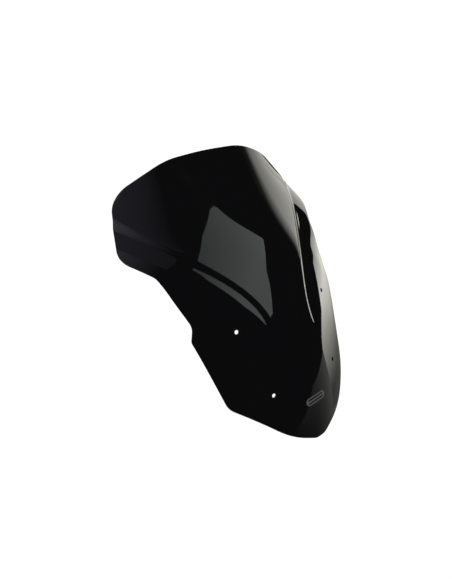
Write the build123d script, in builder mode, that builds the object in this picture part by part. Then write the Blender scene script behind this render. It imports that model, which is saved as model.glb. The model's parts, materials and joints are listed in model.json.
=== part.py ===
from build123d import *
import os
from math import cos, exp, radians, sin, sqrt, tanh

# Windshield screen of a motorcycle: one formed acrylic sheet with four mounting holes, a badge
# film on the nose and a rubber washer bonded behind each hole. Millimetres, +Z up, -Y is the
# front of the motorcycle, X = 0 is the plane of symmetry.

# ---- driving dimensions -------------------------------------------------------------------
RAKE = 58.0  # slope of the chord, a straight line from below the nose up to the top edge
SHEET = 4.0  # thickness of the sheet
HOLE_DIAMETER = 7.0
UPPER_HOLE = (104.6, 234.0)  # half spacing, and distance up along the chord
LOWER_HOLE = (75.9, 114.2)

# Outer skin, as heights in front of the chord at stations along it: (along chord, height)
PROFILE = [(0, 0), (40, 26), (120, 43), (230, 55), (340, 42.5), (440, 11), (531, -6.5)]
NOSE_LIFT = 12.4  # blunts the nose, fading upwards
NOSE_REACH = 25.0
# How far the skin falls back from the centreline at two half widths: (along chord, fall)
FALL_AT_100 = [(0, 30.3), (180, 19), (360, 11), (531, 1.5)]
FALL_AT_150 = [(0, 63), (180, 46.5), (360, 25.5), (531, 24)]

# Stepped crease between the centre panel and the flanks: (along chord, half width). The skin
# stands proud inside it, dips outside it, and comes back to the plain crown on both sides.
CREASE = [(190, 50), (280, 69), (370, 132), (450, 190)]
CREASE_RANGE = (150.0, 480.0)
STEP_HALF_HEIGHT = 2.0
STEP_ROUND = [(250, 2.2), (450, 5.0)]  # widens towards the wing
STEP_REACH = 45.0
STEP_START = 208.0  # the step grows out of the smooth nose around here
STEP_GROWTH = 18.0
RIDGE_ROUND = 15.0  # keeps the skin smooth across the centreline

# Folded rim along the side edges: (along chord, half width of the fold line)
FOLD = [(95, 117.5), (215, 143), (325, 122)]
FOLD_RANGE = (40.0, 400.0)
RIM_SLOPE = 0.13
RIM_ROUND = 6.0
RIM_END = 320.0
RIM_FADE = 20.0

# Right half of the outline seen square to the chord: (half width, along chord, corner radius)
TOP_CENTRE = (0, 533.5, 500)
OUTLINE = [
    (11, 6.7, 26.5),  # blunt nose
    (62.5, 33, 168),  # bottom edge sweeps up and back
    (143, 122, 38),  # lower corner
    (168, 245.5, 12),  # shoulder above the fairing seat
    (161, 266.5, 30),  # small notch
    (181.5, 356.5, 30),  # waist under the wing
    (215.5, 401, 31),  # lower corner of the wing
    (178.5, 501, 57),  # upper corner of the wing
    (82, 529, 205),  # top edge
]

WASHER_DIAMETER = 20.0
WASHER_BORE = 11.0
WASHER_THICKNESS = 2.0

BADGE_CENTRE = 74.5  # height along the chord
BADGE_SIZE = (46.0, 13.0)
BADGE_SLOT = (36.0, 3.0)  # two of these leave a bar between them and a line all round
BADGE_SLOT_PITCH = 5.6
BADGE_FILM = 0.2

# The skin's defining points, a net that reaches past the sheet on every side
ROW_SPACING = 7.0
POINT_SPACING = 4.0
HALF_SPAN = 228.0
SPAN_ALONG = (-16.0, 552.0)
NORMAL_STEP = 0.5  # reach of the slopes measured for a normal
CUT_REACH = 12.0  # how far a cutting block reaches to either side of the skin


# ---- the skin as a formula ----------------------------------------------------------------
def through(stations, w):
    """The polynomial through the stations, at w along the chord."""
    total = 0.0
    for here, value in stations:
        term = value
        for other, _ in stations:
            if other != here:
                term *= (w - other) / (here - other)
        total += term
    return total


def ramp(distance, length):
    """Goes smoothly from 0 to 1 around distance 0."""
    return 0.5 * (1 + tanh(distance / length))


def within(w, limits):
    return min(max(w, limits[0]), limits[1])


def skin_height(x, w):
    """Height of the outer skin in front of the chord, at x across and w along the chord."""
    x = abs(x)
    fall_rate_100 = through(FALL_AT_100, w) / 100**2
    fall_rate_150 = through(FALL_AT_150, w) / 150**2
    cubic = (fall_rate_150 - fall_rate_100) / 50
    square = fall_rate_100 - 100 * cubic
    profile = through(PROFILE, w) + NOSE_LIFT * exp(-w / NOSE_REACH)
    crown = profile - square * x**2 - cubic * x**3

    to_crease = through(CREASE, within(w, CREASE_RANGE)) - sqrt(x**2 + RIDGE_ROUND**2)
    sharp = tanh(to_crease / through(STEP_ROUND, within(w, CREASE_RANGE)))
    growth = ramp(w - STEP_START, STEP_GROWTH)
    step = STEP_HALF_HEIGHT * growth * (sharp - tanh(to_crease / STEP_REACH))

    past_fold = x - through(FOLD, within(w, FOLD_RANGE))
    folded = 0.5 * (past_fold + sqrt(past_fold**2 + RIM_ROUND**2))
    rim = RIM_SLOPE * folded * ramp(RIM_END - w, RIM_FADE)
    return crown + step - rim


def frame_at(x, w):
    """A plane on the outer skin: Z is the outward normal."""
    reach = NORMAL_STEP
    across = Vector(2 * reach, 0, skin_height(x + reach, w) - skin_height(x - reach, w))
    along = Vector(0, 2 * reach, skin_height(x, w + reach) - skin_height(x, w - reach))
    local = Plane(origin=(x, w, skin_height(x, w)), x_dir=across, z_dir=across.cross(along))
    return Plane(CHORD.location * local.location)


# ---- the frame: the chord plane, placed so that the upper holes' midpoint is the origin -----
CHORD_NORMAL = Vector(0, -sin(radians(RAKE)), cos(radians(RAKE)))
chord_at_nose = Plane(origin=(0, 0, 0), x_dir=(1, 0, 0), z_dir=CHORD_NORMAL)
datum = chord_at_nose.from_local_coords((0, UPPER_HOLE[1], skin_height(*UPPER_HOLE)))
CHORD = Plane(origin=-datum, x_dir=(1, 0, 0), z_dir=CHORD_NORMAL)


def spaced(low, high, count):
    """That many evenly spaced values after low, ending at high."""
    return [low + (high - low) * (i + 1) / count for i in range(count)]


def make_skin():
    """The outer skin, larger than the sheet on every side, as a loft through its rows.

    Every row has its points at the same places, so the loft stays one even surface.
    """
    low, high = SPAN_ALONG
    count = round(2 * HALF_SPAN / POINT_SPACING)
    across = [-HALF_SPAN] + spaced(-HALF_SPAN, HALF_SPAN, count)
    places = [0] + spaced(0, 1, count)
    rows = []
    for w in [low] + spaced(low, high, round((high - low) / ROW_SPACING)):
        points = [CHORD.from_local_coords((x, w, skin_height(x, w))) for x in across]
        rows.append(Wire([Edge.make_spline(points, parameters=places)]))
    return Shell.make_loft(rows).faces()[0]


def cut_out(face, block):
    """The piece of the face inside the block."""
    return face.intersect(block)[0]


def outward(face, plane):
    """1 where the face's own normal points out of the plane, and -1 where it points in."""
    return 1 if face.normal_at(plane.origin).dot(plane.z_dir) > 0 else -1


os.makedirs("parts", exist_ok=True)

# ---- screen_panel: the formed and drilled sheet ---------------------------------------------
skin = make_skin()
left_half = [(-x, w, radius) for x, w, radius in reversed(OUTLINE)]
corners = [*OUTLINE, TOP_CENTRE, *left_half]
with BuildPart() as outline_block:
    with BuildSketch(CHORD):
        with BuildLine():
            FilletPolyline([(x, w) for x, w, _ in corners], radius=[r for _, _, r in corners], close=True)
        make_face()
    extrude(amount=HALF_SPAN, both=True)

sheet_face = cut_out(skin, outline_block.part)
holes = {
    "upper_left": frame_at(-UPPER_HOLE[0], UPPER_HOLE[1]),
    "upper_right": frame_at(UPPER_HOLE[0], UPPER_HOLE[1]),
    "lower_left": frame_at(-LOWER_HOLE[0], LOWER_HOLE[1]),
    "lower_right": frame_at(LOWER_HOLE[0], LOWER_HOLE[1]),
}
nose = frame_at(0, BADGE_CENTRE)
with BuildPart() as screen_panel:
    thicken(sheet_face, amount=-outward(sheet_face, nose) * SHEET)
    with Locations(*[plane.offset(SHEET) for plane in holes.values()]):
        Hole(radius=HOLE_DIAMETER / 2, depth=CUT_REACH)
screen_panel.part.label = "screen_panel"
export_step(screen_panel.part, "parts/screen_panel.step")

# ---- front_mark: a plain badge film on the nose, two bars inside a rounded frame ------------
with BuildPart() as mark_block:
    with BuildSketch(nose):
        SlotOverall(*BADGE_SIZE)
        with GridLocations(0, BADGE_SLOT_PITCH, 1, 2):
            SlotOverall(*BADGE_SLOT, mode=Mode.SUBTRACT)
    extrude(amount=CUT_REACH, both=True)
mark_face = cut_out(skin, mark_block.part)
with BuildPart() as front_mark:
    thicken(mark_face, amount=outward(mark_face, nose) * BADGE_FILM)
front_mark.part.label = "front_mark"
export_step(front_mark.part, "parts/front_mark.step")

# ---- washers: a rubber ring bonded to the back of the sheet round each hole ------------------
for name, hole in holes.items():
    on_ring = hole.from_local_coords((WASHER_DIAMETER / 2, 0, -SHEET))
    back_face = screen_panel.faces().sort_by_distance(on_ring)[0]
    with BuildPart() as ring_block:
        with BuildSketch(hole):
            Circle(WASHER_DIAMETER / 2)
            Circle(WASHER_BORE / 2, mode=Mode.SUBTRACT)
        extrude(amount=CUT_REACH, both=True)
    ring_face = cut_out(back_face, ring_block.part)
    with BuildPart() as washer:
        thicken(ring_face, amount=-outward(ring_face, hole) * WASHER_THICKNESS)
    washer.part.label = f"washer_{name}"
    export_step(washer.part, f"parts/washer_{name}.step")
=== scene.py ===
import json
from math import ceil, cos, pi, radians, sin

import bpy
import numpy as np
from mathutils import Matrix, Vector
from mathutils.geometry import delaunay_2d_cdt


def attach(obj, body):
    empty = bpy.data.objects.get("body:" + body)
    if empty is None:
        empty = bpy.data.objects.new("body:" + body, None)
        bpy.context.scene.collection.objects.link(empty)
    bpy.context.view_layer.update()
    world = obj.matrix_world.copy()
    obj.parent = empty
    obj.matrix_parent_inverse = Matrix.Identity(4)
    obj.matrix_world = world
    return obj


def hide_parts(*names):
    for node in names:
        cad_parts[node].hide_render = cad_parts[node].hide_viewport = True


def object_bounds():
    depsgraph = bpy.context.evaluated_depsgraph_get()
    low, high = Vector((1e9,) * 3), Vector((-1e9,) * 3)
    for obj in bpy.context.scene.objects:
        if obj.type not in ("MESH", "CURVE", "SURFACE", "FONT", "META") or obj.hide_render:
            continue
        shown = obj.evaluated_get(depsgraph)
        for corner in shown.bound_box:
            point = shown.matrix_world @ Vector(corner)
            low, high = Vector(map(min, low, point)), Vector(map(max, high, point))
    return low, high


# The windshield screen as a visual model: the formed black acrylic sheet with polished edges, the
# badge film on its nose and the rubber washers behind its holes, in a plain white studio.
# The skin is a height in front of the chord, a straight line from below the nose up to the top
# edge. It is worked out in millimetres, as in the CAD, and every piece is laid on it. The studio
# is in metres.

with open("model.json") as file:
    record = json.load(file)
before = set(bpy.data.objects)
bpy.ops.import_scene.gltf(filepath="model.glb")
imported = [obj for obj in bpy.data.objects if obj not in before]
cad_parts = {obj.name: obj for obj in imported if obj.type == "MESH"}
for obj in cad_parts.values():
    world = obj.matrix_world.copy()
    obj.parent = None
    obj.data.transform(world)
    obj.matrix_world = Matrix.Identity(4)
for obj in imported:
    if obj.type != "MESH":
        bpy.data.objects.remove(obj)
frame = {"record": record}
loaded_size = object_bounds()
MOUNTS = {m["name"]: m for m in frame["record"]["mounts"]}
MM = 0.001

# ---- the shapes, in millimetres, as (along chord, value) or (across, along chord, radius) ------
RAKE = 58.0  # slope of the chord
SHEET = 4.0
UPPER_HOLE = (104.6, 234.0)  # half spacing, and distance up along the chord
# The outer skin: its heights at the centreline, and how far it falls back at two half widths.
PROFILE = [(0, 0), (40, 26), (120, 43), (230, 55), (340, 42.5), (440, 11), (531, -6.5)]
NOSE_LIFT = 12.4  # blunts the nose, fading upwards
NOSE_REACH = 25.0
FALL_AT_100 = [(0, 30.3), (180, 19), (360, 11), (531, 1.5)]
FALL_AT_150 = [(0, 63), (180, 46.5), (360, 25.5), (531, 24)]
# The stepped crease beside the raised centre panel, which grows upwards out of the nose.
CREASE = [(190, 50), (280, 69), (370, 132), (450, 190)]
CREASE_RANGE = (150.0, 480.0)
STEP_HALF_HEIGHT = 2.0
STEP_ROUND = [(250, 2.2), (450, 5.0)]
STEP_REACH = 45.0
STEP_START = 208.0
STEP_GROWTH = 18.0
RIDGE_ROUND = 15.0  # keeps the skin smooth across the centreline
# The folded rim along the side edges.
FOLD = [(95, 117.5), (215, 143), (325, 122)]
FOLD_RANGE = (40.0, 400.0)
RIM_SLOPE = 0.13
RIM_ROUND = 6.0
RIM_END = 320.0
RIM_FADE = 20.0
# The right half of the outline, from the nose up to the top edge, and the middle of that edge.
TOP_CENTRE = (0, 533.5, 500)
OUTLINE = [
    (11, 6.7, 26.5),
    (62.5, 33, 168),
    (143, 122, 38),
    (168, 245.5, 12),
    (161, 266.5, 30),
    (181.5, 356.5, 30),
    (215.5, 401, 31),
    (178.5, 501, 57),
    (82, 529, 205),
]
BADGE_CENTRE = 74.5  # height along the chord
BADGE_SIZE = (46.0, 13.0)
BADGE_SLOT = (36.0, 3.0)  # two of these leave a bar between them and a line all round
BADGE_SLOT_PITCH = 5.6
BADGE_FILM = 0.2
WASHER_RADIUS = 10.0
WASHER_BORE_RADIUS = 5.5
WASHER_THICKNESS = 2.0

# ---- fineness of the meshes and roundness of their edges, in millimetres ----------------------
GRID = 2.2
OUTLINE_STEP = 2.2
ARC_STEPS_MIN = 4
MERGE_SHARE = 0.2  # outline points closer than this share of a step become one
RIM_CLEAR = 0.6  # free border between a grid and a rim, in steps of the grid
BADGE_RIM_CLEAR = 0.5
HOLE_CLEAR = 2.2  # the same round a hole, where rings of points take the grid's place
HOLE_RINGS = ((1.0, 1), (2.6, 2), (4.8, 2))  # distance out from the hole, every how many points
EDGE_ROUND = 0.9  # the sheet's sawn edge, rounded and polished
HOLE_ROUND = 0.4
WASHER_ROUND = 0.4
BADGE_ROUND = 0.07
BADGE_STEP = 0.7
ROUND_STEPS = 5
HOLE_STEPS = 48
INSET = 0.02  # keeps the washers and the badge film just off the sheet they lie on
SLOPE_REACH = 0.25  # how far to either side the skin's slope is measured
LAYING_ROUNDS = 8  # times that a laid point is moved back over its place
SAME_POINT = 1e-6  # points closer than this are one in a triangulation


def through(stations, w):
    """The polynomial through the stations, at w along the chord."""
    total = 0.0
    for here, value in stations:
        term = value
        for other, _ in stations:
            if other != here:
                term = term * (w - other) / (here - other)
        total = total + term
    return total


def skin_height(x, w):
    """Height of the outer skin in front of the chord, for arrays of x across and w along."""
    x = np.abs(x)
    fall_rate_100 = through(FALL_AT_100, w) / 100**2
    fall_rate_150 = through(FALL_AT_150, w) / 150**2
    cubic = (fall_rate_150 - fall_rate_100) / 50
    square = fall_rate_100 - 100 * cubic
    profile = through(PROFILE, w) + NOSE_LIFT * np.exp(-w / NOSE_REACH)
    crown = profile - square * x**2 - cubic * x**3
    w_crease = np.clip(w, *CREASE_RANGE)
    to_crease = through(CREASE, w_crease) - np.sqrt(x**2 + RIDGE_ROUND**2)
    sharp = np.tanh(to_crease / through(STEP_ROUND, w_crease))
    growth = 0.5 * (1 + np.tanh((w - STEP_START) / STEP_GROWTH))
    step = STEP_HALF_HEIGHT * growth * (sharp - np.tanh(to_crease / STEP_REACH))
    past_fold = x - through(FOLD, np.clip(w, *FOLD_RANGE))
    folded = 0.5 * (past_fold + np.sqrt(past_fold**2 + RIM_ROUND**2))
    rim = RIM_SLOPE * folded * 0.5 * (1 + np.tanh((RIM_END - w) / RIM_FADE))
    return crown + step - rim


ALONG = np.array([0, cos(radians(RAKE)), sin(radians(RAKE))])
AHEAD = np.array([0, -sin(radians(RAKE)), cos(radians(RAKE))])
# from the chord's foot to the frame's origin, midway between the upper holes
DATUM = UPPER_HOLE[1] * ALONG + float(skin_height(np.array(UPPER_HOLE[0]), UPPER_HOLE[1])) * AHEAD


def to_space(x, w, height):
    """Points of the chord's axes as points of the frame, in millimetres."""
    return np.stack([x, 0 * x, 0 * x], -1) + np.outer(w, ALONG) + np.outer(height, AHEAD) - DATUM


def to_chord(points):
    """x across and w along the chord, of points in the frame."""
    from_foot = points + DATUM
    return from_foot[:, 0], from_foot @ ALONG


def skin(x, w):
    """Points of the outer skin and its outward normals."""
    reach = SLOPE_REACH
    rise_x = (skin_height(x + reach, w) - skin_height(x - reach, w)) / (2 * reach)
    rise_w = (skin_height(x, w + reach) - skin_height(x, w - reach)) / (2 * reach)
    normal = np.outer(-rise_x, [1, 0, 0]) + np.outer(-rise_w, ALONG) + AHEAD
    normal /= np.linalg.norm(normal, axis=1)[:, None]
    return to_space(x, w, skin_height(x, w)), normal


# ---- outline --------------------------------------------------------------------------------
def rounded(corners, step):
    """Points round a closed outline of (x, w, radius) corners, joined by straight lines."""
    path = []
    for i, (x, w, radius) in enumerate(corners):
        here = np.array([x, w], float)
        back = np.array(corners[i - 1][:2], float) - here
        ahead = np.array(corners[(i + 1) % len(corners)][:2], float) - here
        back /= np.linalg.norm(back)
        ahead /= np.linalg.norm(ahead)
        half = 0.5 * np.arccos(np.clip(back @ ahead, -1, 1))
        middle = (back + ahead) / np.linalg.norm(back + ahead)
        centre = here + middle * radius / sin(half)
        start = here + back * radius / np.tan(half) - centre
        end = here + ahead * radius / np.tan(half) - centre
        turn = pi - 2 * half
        count = max(ARC_STEPS_MIN, ceil(radius * turn / step))
        for k in range(count + 1):
            t = k / count * turn
            path.append(centre + (sin(turn - t) * start + sin(t) * end) / sin(turn))
    points = []
    for i, here in enumerate(path):
        ahead = path[(i + 1) % len(path)]
        count = max(1, round(float(np.linalg.norm(ahead - here)) / step))
        points += [here + (ahead - here) * k / count for k in range(count)]
    points = np.array(points)
    apart = np.linalg.norm(points - np.roll(points, 1, 0), axis=1)
    return points[apart > MERGE_SHARE * step]


def inside(polygon, points):
    """Whether each point is inside the closed polygon."""
    x, y = points[:, 0], points[:, 1]
    found = np.zeros(len(points), bool)
    for (x1, y1), (x2, y2) in zip(polygon, np.roll(polygon, -1, 0)):
        crosses = (y1 > y) != (y2 > y)
        if crosses.any():
            found ^= crosses & (x < x1 + (x2 - x1) * (y - y1) / (y2 - y1 + 1e-12))
    return found


def apart_from(points, rim, distance):
    """Whether each point is further than distance from every point of the rim."""
    kept = np.ones(len(points), bool)
    for at in rim:
        kept &= np.hypot(*(points - at).T) > distance
    return kept


class Shape:
    """A mesh under construction: vertices in millimetres, with their normals, and faces."""

    def __init__(self):
        self.points, self.normals, self.faces, self.slots = [], [], [], []
        self.count = 0

    def add(self, points, normals):
        self.points.append(np.asarray(points, float))
        self.normals.append(np.asarray(normals, float))
        first = self.count
        self.count += len(points)
        return np.arange(first, self.count)

    def band(self, lower, upper, slot=0, flip=False):
        """A closed strip of quads between two rings of as many vertices."""
        for i in range(len(lower)):
            j = (i + 1) % len(lower)
            face = [int(lower[i]), int(lower[j]), int(upper[j]), int(upper[i])]
            self.faces.append(face[::-1] if flip else face)
            self.slots.append(slot)

    def fill(self, triangles, slot=0):
        self.faces += [[int(v) for v in t] for t in triangles]
        self.slots += [slot] * len(triangles)

    def build(self, name, materials):
        points = np.concatenate(self.points) * MM
        normals = np.concatenate(self.normals)
        mesh = bpy.data.meshes.new(name)
        mesh.from_pydata([tuple(p) for p in points], [], self.faces)
        mesh.polygons.foreach_set("use_smooth", [True] * len(self.faces))
        for material in materials:
            mesh.materials.append(material)
        mesh.polygons.foreach_set("material_index", self.slots)
        mesh.update()
        mesh.normals_split_custom_set_from_vertices([tuple(n) for n in normals])
        made = bpy.data.objects.new(name, mesh)
        bpy.context.scene.collection.objects.link(made)
        return made


def triangulated(rings, spots, polygon, openings):
    """Triangles over flat points: closed rings of indices, free spots, kept inside the polygon."""
    flat = np.concatenate([*rings, spots])
    edges, first = [], 0
    for ring in rings:
        edges += [(first + i, first + (i + 1) % len(ring)) for i in range(len(ring))]
        first += len(ring)
    out = delaunay_2d_cdt([Vector(p) for p in flat], edges, [], 0, SAME_POINT)
    origin = [o[0] if o else -1 for o in out[3]]
    triangles = np.array([[origin[v] for v in f] for f in out[2]])
    triangles = triangles[(triangles >= 0).all(1)]
    middles = flat[triangles].mean(1)
    kept = inside(polygon, middles)
    for opening in openings:
        kept &= ~inside(opening, middles)
    triangles = triangles[kept]
    a, b, c = flat[triangles[:, 0]], flat[triangles[:, 1]], flat[triangles[:, 2]]
    turn = (b[:, 0] - a[:, 0]) * (c[:, 1] - a[:, 1]) - (b[:, 1] - a[:, 1]) * (c[:, 0] - a[:, 0])
    triangles[turn < 0] = triangles[turn < 0][:, ::-1]
    return triangles


def grid_spots(low, high, step):
    """Evenly staggered points over a rectangle."""
    rows = np.arange(low[1], high[1] + step, step)
    across = np.arange(low[0], high[0] + step, step)
    x, y = np.meshgrid(across, rows)
    x = x + 0.5 * step * (np.arange(len(rows)) % 2)[:, None]
    return np.stack([x.ravel(), y.ravel()], -1)


def base_at(origin, axis):
    """A flat base for laying things on the skin, square to the axis: origin and two directions."""
    across = np.array([1.0, 0, 0]) - axis[0] * axis
    across /= np.linalg.norm(across)
    return origin, across, np.cross(axis, across)


def laid(base, u, v, depth):
    """Points under the skin by depth that lie at (u, v) seen along the base's axis, and the
    skin's normals over them."""
    origin, across, up = base
    x, w = to_chord(origin + np.outer(u, across) + np.outer(v, up))
    for _ in range(LAYING_ROUNDS):
        points, normals = skin(x, w)
        points = points - np.asarray(depth * np.ones(len(u)))[:, None] * normals
        miss = np.outer(u - (points - origin) @ across, across)
        miss += np.outer(v - (points - origin) @ up, up)
        x, w = x + miss[:, 0], w + miss @ ALONG
    return points, normals


def circle(radius):
    turn = np.arange(HOLE_STEPS) * 2 * pi / HOLE_STEPS
    return radius * np.cos(turn), radius * np.sin(turn)


def quarter(start_degrees):
    """Cosines and sines of a quarter turn, as (cos, sin) pairs."""
    turns = np.radians(np.linspace(start_degrees, start_degrees + 90, ROUND_STEPS + 1))
    return list(zip(np.cos(turns), np.sin(turns)))


# ---- materials ------------------------------------------------------------------------------
def material(name, color, roughness, ior=1.49):
    made = bpy.data.materials.new(name)
    made.use_nodes = True
    shader = made.node_tree.nodes["Principled BSDF"]
    shader.inputs["Base Color"].default_value = (*color, 1)
    shader.inputs["Roughness"].default_value = roughness
    shader.inputs["IOR"].default_value = ior
    return made, made.node_tree.nodes, made.node_tree.links, shader


def noise(nodes, links, grains, detail, stretch=(1, 1, 1)):
    """A noise texture in the piece's own space, with that many grains along a metre."""
    place = nodes.new("ShaderNodeTexCoord")
    mapping = nodes.new("ShaderNodeMapping")
    mapping.inputs["Scale"].default_value = stretch
    texture = nodes.new("ShaderNodeTexNoise")
    texture.inputs["Scale"].default_value = grains
    texture.inputs["Detail"].default_value = detail
    links.new(place.outputs["Object"], mapping.inputs["Vector"])
    links.new(mapping.outputs["Vector"], texture.inputs["Vector"])
    return texture.outputs["Fac"]


def graded(nodes, links, source, given, wanted):
    """Source, spread from the given (low, high) to the wanted one."""
    grade = nodes.new("ShaderNodeMapRange")
    grade.inputs["From Min"].default_value = given[0]
    grade.inputs["From Max"].default_value = given[1]
    grade.inputs["To Min"].default_value = wanted[0]
    grade.inputs["To Max"].default_value = wanted[1]
    links.new(source, grade.inputs["Value"])
    return grade.outputs["Result"]


def summed(nodes, links, first, second):
    total = nodes.new("ShaderNodeMath")
    links.new(first, total.inputs[0])
    links.new(second, total.inputs[1])
    return total.outputs["Value"]


def roughened(nodes, links, shader, source, distance, strength):
    """Bumps on the surface, of that height in metres."""
    bump = nodes.new("ShaderNodeBump")
    bump.inputs["Distance"].default_value = distance
    bump.inputs["Strength"].default_value = strength
    links.new(source, bump.inputs["Height"])
    links.new(bump.outputs["Normal"], shader.inputs["Normal"])


def tinted(nodes, links, shader, source, low, high):
    """A base colour that goes from low to high with the source."""
    tint = nodes.new("ShaderNodeMix")
    tint.data_type = "RGBA"
    tint.inputs["A"].default_value = (*low, 1)
    tint.inputs["B"].default_value = (*high, 1)
    links.new(source, tint.inputs["Factor"])
    links.new(tint.outputs["Result"], shader.inputs["Base Color"])


def acrylic_face():
    """Black cast acrylic: mirror gloss, a very slight haze in patches and fine wiping marks."""
    made, nodes, links, shader = material("black_acrylic", (0.003, 0.003, 0.0034), 0.03)
    patches = noise(nodes, links, grains=14, detail=3)
    haze = graded(nodes, links, patches, given=(0.4, 0.75), wanted=(0.022, 0.04))
    wiped = noise(nodes, links, grains=900, detail=1, stretch=(0.02, 1, 1))
    marks = graded(nodes, links, wiped, given=(0.7, 0.8), wanted=(0.0, 0.02))
    links.new(summed(nodes, links, haze, marks), shader.inputs["Roughness"])
    return made


def acrylic_edge():
    """The sawn edge, flame polished: a little duller, with fine specks."""
    made, nodes, links, shader = material("polished_edge", (0.006, 0.006, 0.0065), 0.12)
    specks = noise(nodes, links, grains=1500, detail=2)
    roughness = graded(nodes, links, specks, given=(0.3, 0.7), wanted=(0.09, 0.2))
    links.new(roughness, shader.inputs["Roughness"])
    roughened(nodes, links, shader, specks, distance=0.00002, strength=0.3)
    return made


def mark_film():
    """Satin grey badge film with a fine fleck."""
    made, nodes, links, shader = material("mark_film", (0.065, 0.065, 0.067), 0.38)
    fleck = noise(nodes, links, grains=3500, detail=2)
    roughness = graded(nodes, links, fleck, given=(0.3, 0.7), wanted=(0.32, 0.46))
    links.new(roughness, shader.inputs["Roughness"])
    tinted(nodes, links, shader, fleck, low=(0.052, 0.052, 0.054), high=(0.078, 0.078, 0.08))
    roughened(nodes, links, shader, fleck, distance=0.00001, strength=0.4)
    return made


def washer_rubber():
    """Moulded black rubber with a fine grain and a dusty bloom."""
    made, nodes, links, shader = material("washer_rubber", (0.02, 0.02, 0.02), 0.6, ior=1.5)
    grain = noise(nodes, links, grains=2500, detail=4)
    bloom = noise(nodes, links, grains=160, detail=3)
    roughness = graded(nodes, links, bloom, given=(0.3, 0.7), wanted=(0.5, 0.75))
    links.new(roughness, shader.inputs["Roughness"])
    tinted(nodes, links, shader, bloom, low=(0.016, 0.016, 0.016), high=(0.032, 0.032, 0.031))
    roughened(nodes, links, shader, grain, distance=0.00008, strength=0.5)
    return made


# ---- the sheet ------------------------------------------------------------------------------
HOLES = {}
for name in ("upper_left", "upper_right", "lower_left", "lower_right"):
    axis = np.array(MOUNTS[name]["axis"])
    middle = np.array(MOUNTS[name]["pos_m"]) / MM
    HOLES[name] = (base_at(middle + 0.5 * SHEET * axis, axis), MOUNTS[name]["dims"]["r_mm"])


def make_sheet():
    shape = Shape()
    left_half = [(-x, w, radius) for x, w, radius in reversed(OUTLINE)]
    flat = rounded([*OUTLINE, TOP_CENTRE, *left_half], OUTLINE_STEP)
    edge, normals = skin(flat[:, 0], flat[:, 1])
    along = np.roll(edge, -1, 0) - np.roll(edge, 1, 0)
    outward = np.cross(along, normals)
    outward /= np.linalg.norm(outward, axis=1)[:, None]

    # the sawn edge, from the outer skin to the inner one
    turned = [(0.0, out, rise) for rise, out in quarter(0)]
    turned += [(SHEET - 2 * EDGE_ROUND, out, rise) for rise, out in quarter(90)]
    rings, rim_points = [], []
    for lower, out, rise in turned:
        ring = edge + EDGE_ROUND * (out - 1) * outward
        ring = ring + (EDGE_ROUND * (rise - 1) - lower) * normals
        rim_points.append(ring)
        rings.append(shape.add(ring, out * outward + rise * normals))
    for k, (upper, lower) in enumerate(zip(rings, rings[1:])):
        shape.band(upper, lower, slot=1 if 0 < k < len(rings) - 2 else 0, flip=True)
    outer_rings, inner_rings = [rings[0]], [rings[-1]]
    flat_rings = [np.stack(to_chord(rim_points[0]), -1)]

    # the drilled holes
    for base, radius in HOLES.values():
        profile = [(0.0, inward, rise) for rise, inward in quarter(0)]
        lower = SHEET - 2 * HOLE_ROUND
        profile += [(lower, inward, rise) for rise, inward in quarter(90)]
        hole_rings = []
        for lower, inward, rise in profile:
            u, v = circle(radius + HOLE_ROUND * (1 - inward))
            points, normal = laid(base, u, v, lower + HOLE_ROUND * (1 - rise))
            if not hole_rings:
                flat_rings.append(np.stack(to_chord(points), -1))
            away = np.outer(u, base[1]) + np.outer(v, base[2])
            away /= np.linalg.norm(away, axis=1)[:, None]
            hole_rings.append(shape.add(points, rise * normal - inward * away))
        for k, (upper, lower) in enumerate(zip(hole_rings, hole_rings[1:])):
            shape.band(upper, lower, slot=1 if 0 < k < len(hole_rings) - 2 else 0)
        outer_rings.append(hole_rings[0])
        inner_rings.append(hole_rings[-1])

    # the two skins
    spots = grid_spots(flat.min(0), flat.max(0), GRID)
    spots = spots[inside(flat_rings[0], spots)]
    spots = spots[apart_from(spots, flat_rings[0], RIM_CLEAR * GRID)]
    for hole in flat_rings[1:]:
        middle = hole.mean(0)
        reach = np.hypot(*(hole - middle).T).mean()
        spots = spots[np.hypot(*(spots - middle).T) > reach + HOLE_CLEAR * GRID]
        for grown, every in HOLE_RINGS:
            wider = middle + (hole - middle) * (1 + grown / reach)
            spots = np.concatenate([spots, wider[::every]])
    triangles = triangulated(flat_rings, spots, flat_rings[0], flat_rings[1:])
    points, normal = skin(spots[:, 0], spots[:, 1])
    outer = np.concatenate([*outer_rings, shape.add(points, normal)])
    inner = np.concatenate([*inner_rings, shape.add(points - SHEET * normal, -normal)])
    shape.fill(outer[triangles])
    shape.fill(inner[triangles][:, ::-1])
    return shape.build("screen_sheet", [acrylic_face(), acrylic_edge()])


def make_washer(name, base):
    """A rubber ring on the back of the sheet, with rounded rims."""
    shape = Shape()
    turn = WASHER_ROUND
    low, high = SHEET + INSET + turn, SHEET + WASHER_THICKNESS - turn
    corners = [
        (WASHER_RADIUS - turn, low, -90),
        (WASHER_RADIUS - turn, high, 0),
        (WASHER_BORE_RADIUS + turn, high, 90),
        (WASHER_BORE_RADIUS + turn, low, 180),
    ]
    rings = []
    for radius, depth, start in corners:
        for out, sink in quarter(start):
            u, v = circle(radius + turn * out)
            points, normal = laid(base, u, v, depth + turn * sink)
            away = np.outer(u, base[1]) + np.outer(v, base[2])
            away /= np.linalg.norm(away, axis=1)[:, None]
            rings.append(shape.add(points, out * away - sink * normal))
    for here, ahead in zip(rings, rings[1:] + rings[:1]):
        shape.band(here, ahead, flip=True)
    return shape.build(name, [rubber])


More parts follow.
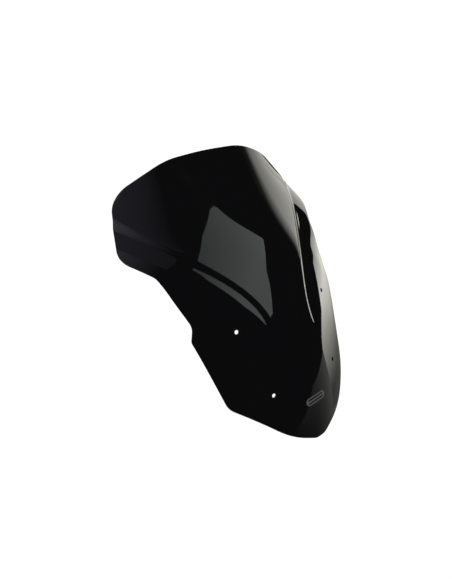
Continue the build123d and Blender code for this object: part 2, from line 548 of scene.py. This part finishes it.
def make_mark():
    """The badge film: its face, and a small rounded wall round it and round its two slots."""
    shape = Shape()
    step, turn = BADGE_STEP, BADGE_ROUND
    base = base_at(*(value[0] for value in skin(np.zeros(1), np.array([BADGE_CENTRE]))))

    def stadium(size, centre_height):
        half_length, half_height = size[0] / 2, size[1] / 2
        corners = [(-1, -1), (1, -1), (1, 1), (-1, 1)]
        path = [(half_length * a, half_height * b, half_height) for a, b in corners]
        return rounded(path, step) + np.array([0, centre_height])

    loops = [(stadium(BADGE_SIZE, 0), -1)]
    for side in (-1, 1):
        loops.append((stadium(BADGE_SLOT, side * BADGE_SLOT_PITCH / 2), 1))
    top_rings, base_rings, flat_rings = [], [], []
    for loop, inward in loops:
        along = np.roll(loop, -1, 0) - np.roll(loop, 1, 0)
        away = np.stack([along[:, 1], -along[:, 0]], -1)
        away *= -inward / np.linalg.norm(away, axis=1)[:, None]
        away_in_space = np.outer(away[:, 0], base[1]) + np.outer(away[:, 1], base[2])
        rings = []
        for rise, out in quarter(0):
            at = loop + turn * (out - 1) * away
            depth = -BADGE_FILM + turn * (1 - rise)
            points, normal = laid(base, at[:, 0], at[:, 1], depth)
            rings.append(shape.add(points, rise * normal + out * away_in_space))
            if len(rings) == 1:
                flat_rings.append(at)
        points, normal = laid(base, loop[:, 0], loop[:, 1], -INSET)
        foot = shape.add(points, away_in_space)
        rings.append(foot)
        for upper, lower in zip(rings, rings[1:]):
            shape.band(upper, lower, flip=inward < 0)
        top_rings.append(rings[0])
        base_rings.append(foot)
    spots = grid_spots(loops[0][0].min(0), loops[0][0].max(0), step)
    spots = spots[inside(flat_rings[0], spots)]
    for k, ring in enumerate(flat_rings):
        if k:
            spots = spots[~inside(ring, spots)]
        spots = spots[apart_from(spots, ring, BADGE_RIM_CLEAR * step)]
    triangles = triangulated(flat_rings, spots, flat_rings[0], flat_rings[1:])
    points, normal = laid(base, spots[:, 0], spots[:, 1], -BADGE_FILM)
    top = np.concatenate([*top_rings, shape.add(points, normal)])
    points, normal = laid(base, spots[:, 0], spots[:, 1], -INSET)
    foot = np.concatenate([*base_rings, shape.add(points, -normal)])
    shape.fill(top[triangles])
    shape.fill(foot[triangles][:, ::-1])
    return shape.build("badge_film", [mark_film()])


rubber = washer_rubber()
sheet = make_sheet()
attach(sheet, "root")
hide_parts("screen_panel")
badge = make_mark()
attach(badge, "root")
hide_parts("front_mark")
for name, (base, _) in HOLES.items():
    ring = make_washer(f"rubber_{name}", base)
    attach(ring, "root")
    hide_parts(f"washer_{name}")

# ---- studio ---------------------------------------------------------------------------------
scene = bpy.context.scene
scene.view_settings.view_transform = "Standard"
BACKDROP = 1.15  # strength of the white all round
REFLECTED_DARK = (0.004, 0.004, 0.004, 1)
FLOOR_GAP = 0.6  # from the screen's lowest point down to the floor
FLOOR_HALF = 30.0
CARD_STEP = 0.006


def direction(azimuth, elevation):
    """The way from the screen to something; azimuth 0 is -Y and 90 is +X, in degrees."""
    a, e = radians(azimuth), radians(elevation)
    return Vector((sin(a) * cos(e), -cos(a) * cos(e), sin(e)))


def make_world():
    """White for the backdrop and as soft fill, dark in the screen's reflections."""
    world = bpy.data.worlds.new("studio")
    scene.world = world
    world.use_nodes = True
    nodes, links = world.node_tree.nodes, world.node_tree.links
    path = nodes.new("ShaderNodeLightPath")
    dark = nodes.new("ShaderNodeBackground")
    dark.inputs["Color"].default_value = REFLECTED_DARK
    white = nodes["Background"]
    white.inputs["Color"].default_value = (1, 1, 1, 1)
    white.inputs["Strength"].default_value = BACKDROP
    mix = nodes.new("ShaderNodeMixShader")
    links.new(path.outputs["Is Glossy Ray"], mix.inputs["Fac"])
    links.new(white.outputs["Background"], mix.inputs[1])
    links.new(dark.outputs["Background"], mix.inputs[2])
    links.new(mix.outputs["Shader"], nodes["World Output"].inputs["Surface"])


def only_reflected(thing):
    thing.visible_camera = False
    thing.visible_diffuse = False
    thing.visible_shadow = False
    thing.visible_transmission = False
    thing.visible_volume_scatter = False


def ramp(nodes, links, place, slant, low, high, at_low, at_high, curve):
    """A factor over a card that goes from at_low to at_high as the distance along the slant,
    in degrees up from its across direction, goes from low to high."""
    distance = nodes.new("ShaderNodeVectorMath")
    distance.operation = "DOT_PRODUCT"
    distance.inputs[1].default_value = (cos(radians(slant)), sin(radians(slant)), 0)
    links.new(place, distance.inputs[0])
    share = graded(nodes, links, distance.outputs["Value"], given=(low, high), wanted=(0, 1))
    bent = nodes.new("ShaderNodeMath")
    bent.operation = "POWER"
    bent.inputs[1].default_value = curve
    links.new(share, bent.inputs[0])
    return graded(nodes, links, bent.outputs["Value"], given=(0, 1), wanted=(at_low, at_high))


def card(name, facing, corners, strength, ramps, color=(1, 1, 1)):
    """A light card seen only in reflections. Facing is (azimuth, elevation, distance) of its
    plane; corners are (across, up, corner radius) on it. Each ramp, given as (slant, low, high,
    at_low, at_high, curve), dims it in places."""
    azimuth, elevation, distance = facing
    out_of = direction(azimuth, elevation)
    mesh = bpy.data.meshes.new(name)
    outline = rounded(corners, CARD_STEP)
    mesh.from_pydata([(u, v, 0) for u, v in outline], [], [tuple(range(len(outline)))])
    made = bpy.data.objects.new(name, mesh)
    scene.collection.objects.link(made)
    made.location = out_of * distance
    made.rotation_euler = out_of.to_track_quat("Z", "Y").to_euler()
    glow = bpy.data.materials.new(name)
    glow.use_nodes = True
    nodes, links = glow.node_tree.nodes, glow.node_tree.links
    nodes.clear()
    place = nodes.new("ShaderNodeTexCoord")
    power = nodes.new("ShaderNodeValue")
    power.outputs["Value"].default_value = strength
    brightness = power.outputs["Value"]
    for spread in ramps:
        product = nodes.new("ShaderNodeMath")
        product.operation = "MULTIPLY"
        links.new(brightness, product.inputs[0])
        links.new(ramp(nodes, links, place.outputs["Object"], *spread), product.inputs[1])
        brightness = product.outputs["Value"]
    emission = nodes.new("ShaderNodeEmission")
    emission.inputs["Color"].default_value = (*color, 1)
    links.new(brightness, emission.inputs["Strength"])
    output = nodes.new("ShaderNodeOutputMaterial")
    links.new(emission.outputs["Emission"], output.inputs["Surface"])
    glow.cycles.emission_sampling = "NONE"
    mesh.materials.append(glow)
    only_reflected(made)


make_world()
VIOLET = (0.94, 0.9, 1.15)
WARM = (1.03, 1.02, 0.94)
GREENISH = (0.97, 1.02, 1.0)

# the four-sided patch on the raised panel, and the strip under its crease
card(
    "softbox_above",
    (60, 60, 0.45),
    [(-0.25, 0.15, 0.1), (-0.375, -0.1, 0.1), (-0.43, -0.345, 0), (-0.3, -0.345, 0.03)]
    + [(-0.04, -0.118, 0.2), (0.117, -0.068, 0.01), (0.117, 0.094, 0.02), (0.088, 0.115, 0.01)]
    + [(-0.02, 0.174, 0.15), (-0.205, 0.225, 0)],
    1.3,
    [(90, -0.06, 0.21, 1.0, 0.5, 1.0)],
    GREENISH,
)
# the bright band down the raised panel's far side
card(
    "strip_beside",
    (95, 20, 0.5),
    [(-0.121, 0.051, 0), (-0.121, 0.015, 0), (0.2, 0.015, 0), (0.2, 0.06, 0), (0.32, 0.06, 0)]
    + [(0.32, 0.36, 0), (0.055, 0.31, 0), (0.042, 0.235, 0.03), (0.042, 0.187, 0.03)],
    4.1,
    [(0, -0.06, 0.28, 1.0, 0.3, 1.0), (90, 0.04, 0.23, 1.0, 0.3, 1.0)]
    + [(129, 0.062, 0.112, 1.0, 0.05, 1.0)],
    WARM,
)
# the bright far flank and wing, and the thin line beside the far crease
card(
    "panel_right",
    (85, -12, 0.6),
    [(-0.25, -0.3, 0), (0.5, -0.3, 0), (0.5, 0.42, 0), (0.27, 0.42, 0), (0.26, 0.27, 0.03)]
    + [(0.16, 0.2, 0.03), (0.02, 0.21, 0.015), (-0.1, 0.045, 0.05), (-0.25, -0.028, 0)],
    4.6,
    [(0, -0.25, 0.0, 1.15, 0.9, 1.0), (90, -0.2, 0.06, 0.05, 1.0, 1.8)]
    + [(45, 0.0, 0.25, 1.0, 0.33, 1.0)],
    WARM,
)
# the dull sheen on the nose, round the badge
card(
    "sweep_below",
    (85, -12, 0.61),
    [(-0.25, -0.033, 0), (-0.65, -0.03, 0.05), (-0.86, -0.1, 0.1), (-1.8, -0.6, 0)]
    + [(-1.8, -0.95, 0), (0.5, -0.95, 0), (0.5, -0.033, 0)],
    0.52,
    [(0, -0.9, -0.26, 0.28, 1.0, 2.6), (90, -0.7, -0.16, 0.12, 1.0, 1.5)],
    WARM,
)
# the faint violet washes on the near wing
card(
    "wash_left_low",
    (-60, 60, 0.6),
    [(-0.9, -0.6, 0), (0.055, -0.6, 0), (0.055, 0.03, 0), (-0.9, 0.03, 0)],
    1.0,
    [(0, -0.45, 0.03, 1.0, 0.0, 0.7)],
    VIOLET,
)
card(
    "wash_left_high",
    (-60, 60, 0.6),
    [(-0.9, 0.03, 0), (0.055, 0.03, 0), (0.12, 0.235, 0), (-0.9, 0.235, 0)],
    0.26,
    [(0, -0.35, 0.055, 1.0, 0.4, 1.0), (90, 0.13, 0.235, 1.0, 0.3, 1.0)],
    VIOLET,
)
# the sheen on the back, seen only from behind
card(
    "rear_below",
    (180, -62, 0.9),
    [(-0.42, -0.3, 0.03), (0.42, -0.3, 0.03), (0.42, 0.3, 0.03), (-0.42, 0.3, 0.03)],
    1.4,
    [(90, -0.3, 0.3, 1.0, 0.35, 1.0), (0, -0.42, 0.42, 1.0, 0.6, 1.0)],
)

floor_mesh = bpy.data.meshes.new("floor")
floor_height = loaded_size[0][2] - FLOOR_GAP
floor_corners = [(-FLOOR_HALF, -FLOOR_HALF), (FLOOR_HALF, -FLOOR_HALF)]
floor_corners += [(FLOOR_HALF, FLOOR_HALF), (-FLOOR_HALF, FLOOR_HALF)]
floor_mesh.from_pydata([(x, y, floor_height) for x, y in floor_corners], [], [(0, 1, 2, 3)])
floor = bpy.data.objects.new("floor", floor_mesh)
scene.collection.objects.link(floor)
pale, *_, pale_shader = material("pale_floor", (0.93, 0.93, 0.93), 0.9)
pale_shader.inputs["Specular IOR Level"].default_value = 0.0
floor_mesh.materials.append(pale)
floor.visible_glossy = False

# ---- camera ---------------------------------------------------------------------------------
CAMERA_FROM_FOOT = np.array([-622.8, -434.3, 671.7])  # from the chord's foot, in millimetres
VIEW_AZIMUTH = -43.21
VIEW_ELEVATION = 27.43
SENSOR_WIDTH = 36.0
LENS = 34.46
CLIP_END = 200.0
camera_data = bpy.data.cameras.new("camera")
camera = bpy.data.objects.new("camera", camera_data)
scene.collection.objects.link(camera)
scene.camera = camera
camera_data.sensor_width = SENSOR_WIDTH
camera_data.lens = LENS
camera_data.clip_end = CLIP_END
camera.location = Vector((CAMERA_FROM_FOOT - DATUM) * MM)
back = direction(VIEW_AZIMUTH, VIEW_ELEVATION)
camera.rotation_euler = back.to_track_quat("Z", "Y").to_euler()
